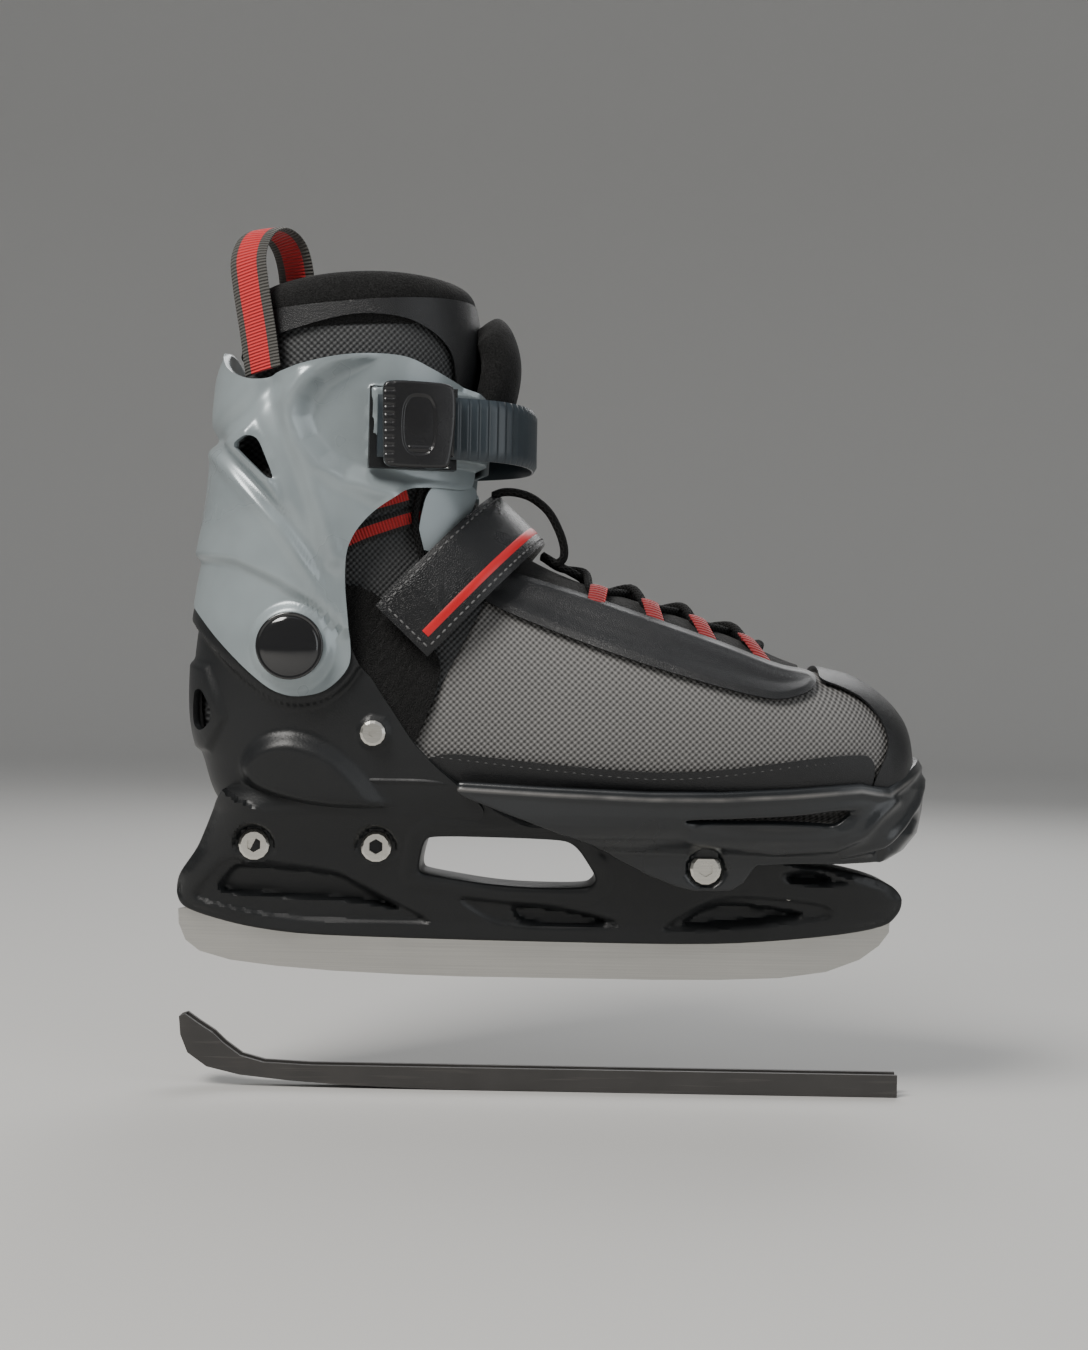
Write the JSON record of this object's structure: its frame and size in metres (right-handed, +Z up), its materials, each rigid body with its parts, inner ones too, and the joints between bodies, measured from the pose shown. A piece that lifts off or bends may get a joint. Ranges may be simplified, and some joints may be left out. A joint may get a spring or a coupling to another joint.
{
  "type": "ice skate",
  "caption": "Adjustable hard-shell ice skate with a hinged cuff, ratchet ankle buckle, padded boot, steel blade and a separate blade guard.",
  "frame": {"origin": "middle of the blade's running edge, on the blade's mid-plane", "axes": "+X to the toe, +Z up, +Y to the inner side of the foot (right skate)"},
  "size_m": [0.291, 0.1124, 0.3289],
  "materials": {
    "black_shell": "fine-textured black moulded nylon",
    "toe_plastic": "satin black moulded plastic",
    "cuff_plastic": "satin silver-grey moulded plastic",
    "blade_steel": "ground stainless steel",
    "nickel": "nickel-plated steel",
    "cap_plastic": "high-gloss black plastic",
    "boot_fabric": "dotted grey woven nylon over foam",
    "felt": "black brushed knit",
    "buckle_plastic": "black moulded nylon",
    "strap_plastic": "dark slate flexible plastic",
    "leather": "black coated leather with a stitched edge",
    "webbing": "woven polyester webbing",
    "red_webbing": "red woven tape",
    "lace_cord": "round braided lace",
    "red_plastic": "moulded plastic",
    "guard_rubber": "dark grey flexible plastic"
  },
  "bodies": {
    "chassis": {"rear_shell": "black_shell", "blade": "blade_steel", "blade_front_pin": "nickel", "rear_blade_bolt": "nickel", "rear_blade_nut": "nickel", "middle_blade_bolt": "nickel", "middle_blade_nut": "nickel", "outer_pivot_sleeve": "nickel", "inner_pivot_sleeve": "nickel", "outer_pivot_cap": "cap_plastic", "inner_pivot_cap": "cap_plastic", "outer_shell_screw": "nickel", "inner_shell_screw": "nickel", "heel_boot": "boot_fabric", "footbed_heel": "felt", "instep_strap": "leather", "button_spring": "nickel"},
    "toe": {"toe_shell": "toe_plastic", "toe_slide_bolt": "nickel", "toe_slide_nut": "nickel", "front_boot": "boot_fabric", "footbed_toe": "felt", "lace": "lace_cord", "lace_loop": "lace_cord", "outer_lace_loop_1": "red_webbing", "outer_lace_loop_2": "red_webbing", "outer_lace_loop_3": "red_webbing", "outer_lace_loop_4": "red_webbing", "inner_lace_loop_1": "red_webbing", "inner_lace_loop_2": "red_webbing", "inner_lace_loop_3": "red_webbing", "inner_lace_loop_4": "red_webbing"},
    "ankle": {"cuff": "cuff_plastic", "ankle_boot": "boot_fabric", "tongue": "felt", "buckle_base": "buckle_plastic", "lever_pin": "nickel", "pawl_pin": "nickel", "ratchet_strap": "strap_plastic", "strap_screw": "nickel", "pull_loop": "webbing"},
    "lever": {"buckle_lever": "buckle_plastic"},
    "pawl": {"strap_pawl": "nickel"},
    "button": {"release_button": "red_plastic"},
    "guard": {"blade_guard": "guard_rubber"}
  },
  "joints": [
    {"name": "cuff_lean", "type": "hinge", "parent": "chassis", "child": "ankle", "pos_m": [-0.089, 0, 0.127], "axis": [0, 1, 0], "range_deg": [-2, 5]},
    {"name": "buckle_lever_open", "type": "hinge", "parent": "ankle", "child": "lever", "pos_m": [-0.033, -0.0485, 0.208], "axis": [0, 0, 1], "range_deg": [0, 75]},
    {"name": "pawl_lift", "type": "hinge", "parent": "ankle", "child": "pawl", "pos_m": [-0.04661, -0.0518, 0.208], "axis": [0, 0, -1], "range_deg": [0, 9]},
    {"name": "toe_extend", "type": "slide", "parent": "chassis", "child": "toe", "axis": [1, 0, 0], "range_m": [0, 0.02]},
    {"name": "release_press", "type": "slide", "parent": "chassis", "child": "button", "axis": [0, -1, 0], "range_m": [0, 0.0022], "stiffness_N_per_m": 300},
    {"name": "guard_fit", "type": "slide", "parent": "chassis", "child": "guard", "axis": [-0.1451, 0, 0.9894], "range_m": [0, 0.04134]}
  ],
  "couplings": [
    {"joint": "pawl_lift", "follows": "buckle_lever_open", "ratio": 0.12}
  ]
}
